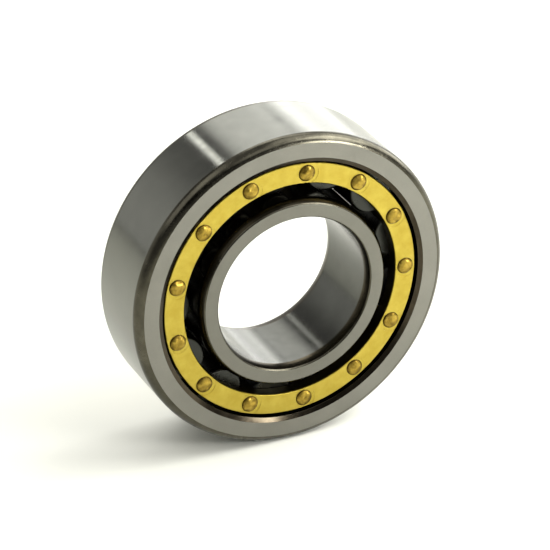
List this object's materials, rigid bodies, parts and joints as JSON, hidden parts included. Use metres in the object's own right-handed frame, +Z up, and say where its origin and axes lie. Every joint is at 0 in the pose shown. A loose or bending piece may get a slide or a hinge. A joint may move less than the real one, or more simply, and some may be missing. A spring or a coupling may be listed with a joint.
{
  "type": "cylindrical roller bearing",
  "caption": "Single-row cylindrical roller bearing: ribbed outer ring, plain floating inner ring, short ground rollers in a riveted two-piece brass cage.",
  "frame": {"origin": "centre of the outer ring, on the bearing axis and midway between its side faces", "axes": "+Y along the bearing axis, from the peened side of the rivets (front) to the rear; +Z up when the bearing stands on its rim; +X to the right seen from the front"},
  "size_m": [0.052, 0.0156, 0.052],
  "materials": {
    "ring_steel": "fine ground and honed hardened bearing steel, lightly oiled",
    "roller_steel": "ground and lapped hardened bearing steel",
    "cage_brass": "machined brass with fine turning marks",
    "rivet_brass": "hammered brass rivet heads"
  },
  "bodies": {
    "outer_ring": {"outer_ring": "ring_steel"},
    "inner_ring": {"inner_ring": "ring_steel"},
    "cage": {"cage_body": "cage_brass", "cage_cover": "cage_brass", "cage_rivet_01": "rivet_brass", "cage_rivet_02": "rivet_brass", "cage_rivet_03": "rivet_brass", "cage_rivet_04": "rivet_brass", "cage_rivet_05": "rivet_brass", "cage_rivet_06": "rivet_brass", "cage_rivet_07": "rivet_brass", "cage_rivet_08": "rivet_brass", "cage_rivet_09": "rivet_brass", "cage_rivet_10": "rivet_brass", "cage_rivet_11": "rivet_brass", "cage_rivet_12": "rivet_brass", "cage_rivet_13": "rivet_brass"},
    "roller_01": {"roller_01": "roller_steel"},
    "roller_02": {"roller_02": "roller_steel"},
    "roller_03": {"roller_03": "roller_steel"},
    "roller_04": {"roller_04": "roller_steel"},
    "roller_05": {"roller_05": "roller_steel"},
    "roller_06": {"roller_06": "roller_steel"},
    "roller_07": {"roller_07": "roller_steel"},
    "roller_08": {"roller_08": "roller_steel"},
    "roller_09": {"roller_09": "roller_steel"},
    "roller_10": {"roller_10": "roller_steel"},
    "roller_11": {"roller_11": "roller_steel"},
    "roller_12": {"roller_12": "roller_steel"},
    "roller_13": {"roller_13": "roller_steel"}
  },
  "joints": [
    {"name": "inner_ring_spin", "type": "hinge", "parent": "outer_ring", "child": "inner_ring", "pos_m": [0, 0, 0], "axis": [0, 1, 0], "continuous": true},
    {"name": "cage_spin", "type": "hinge", "parent": "outer_ring", "child": "cage", "pos_m": [0, 0, 0], "axis": [0, 1, 0], "continuous": true},
    {"name": "roller_01_spin", "type": "hinge", "parent": "cage", "child": "roller_01", "pos_m": [0.01899, 0, 0.00451], "axis": [0, 1, 0], "continuous": true},
    {"name": "roller_02_spin", "type": "hinge", "parent": "cage", "child": "roller_02", "pos_m": [0.01472, 0, 0.01282], "axis": [0, 1, 0], "continuous": true},
    {"name": "roller_03_spin", "type": "hinge", "parent": "cage", "child": "roller_03", "pos_m": [0.00708, 0, 0.01819], "axis": [0, 1, 0], "continuous": true},
    {"name": "roller_04_spin", "type": "hinge", "parent": "cage", "child": "roller_04", "pos_m": [-0.00218, 0, 0.0194], "axis": [0, 1, 0], "continuous": true},
    {"name": "roller_05_spin", "type": "hinge", "parent": "cage", "child": "roller_05", "pos_m": [-0.01095, 0, 0.01616], "axis": [0, 1, 0], "continuous": true},
    {"name": "roller_06_spin", "type": "hinge", "parent": "cage", "child": "roller_06", "pos_m": [-0.0172, 0, 0.00922], "axis": [0, 1, 0], "continuous": true},
    {"name": "roller_07_spin", "type": "hinge", "parent": "cage", "child": "roller_07", "pos_m": [-0.01952, 0, 0.00017], "axis": [0, 1, 0], "continuous": true},
    {"name": "roller_08_spin", "type": "hinge", "parent": "cage", "child": "roller_08", "pos_m": [-0.01736, 0, -0.00892], "axis": [0, 1, 0], "continuous": true},
    {"name": "roller_09_spin", "type": "hinge", "parent": "cage", "child": "roller_09", "pos_m": [-0.01123, 0, -0.01597], "axis": [0, 1, 0], "continuous": true},
    {"name": "roller_10_spin", "type": "hinge", "parent": "cage", "child": "roller_10", "pos_m": [-0.00252, 0, -0.01936], "axis": [0, 1, 0], "continuous": true},
    {"name": "roller_11_spin", "type": "hinge", "parent": "cage", "child": "roller_11", "pos_m": [0.00676, 0, -0.01831], "axis": [0, 1, 0], "continuous": true},
    {"name": "roller_12_spin", "type": "hinge", "parent": "cage", "child": "roller_12", "pos_m": [0.0145, 0, -0.01307], "axis": [0, 1, 0], "continuous": true},
    {"name": "roller_13_spin", "type": "hinge", "parent": "cage", "child": "roller_13", "pos_m": [0.01891, 0, -0.00484], "axis": [0, 1, 0], "continuous": true}
  ],
  "couplings": [
    {"joint": "cage_spin", "follows": "inner_ring_spin", "ratio": 0.40343},
    {"joint": "roller_01_spin", "follows": "inner_ring_spin", "ratio": -2.5056},
    {"joint": "roller_02_spin", "follows": "inner_ring_spin", "ratio": -2.5056},
    {"joint": "roller_03_spin", "follows": "inner_ring_spin", "ratio": -2.5056},
    {"joint": "roller_04_spin", "follows": "inner_ring_spin", "ratio": -2.5056},
    {"joint": "roller_05_spin", "follows": "inner_ring_spin", "ratio": -2.5056},
    {"joint": "roller_06_spin", "follows": "inner_ring_spin", "ratio": -2.5056},
    {"joint": "roller_07_spin", "follows": "inner_ring_spin", "ratio": -2.5056},
    {"joint": "roller_08_spin", "follows": "inner_ring_spin", "ratio": -2.5056},
    {"joint": "roller_09_spin", "follows": "inner_ring_spin", "ratio": -2.5056},
    {"joint": "roller_10_spin", "follows": "inner_ring_spin", "ratio": -2.5056},
    {"joint": "roller_11_spin", "follows": "inner_ring_spin", "ratio": -2.5056},
    {"joint": "roller_12_spin", "follows": "inner_ring_spin", "ratio": -2.5056},
    {"joint": "roller_13_spin", "follows": "inner_ring_spin", "ratio": -2.5056}
  ]
}
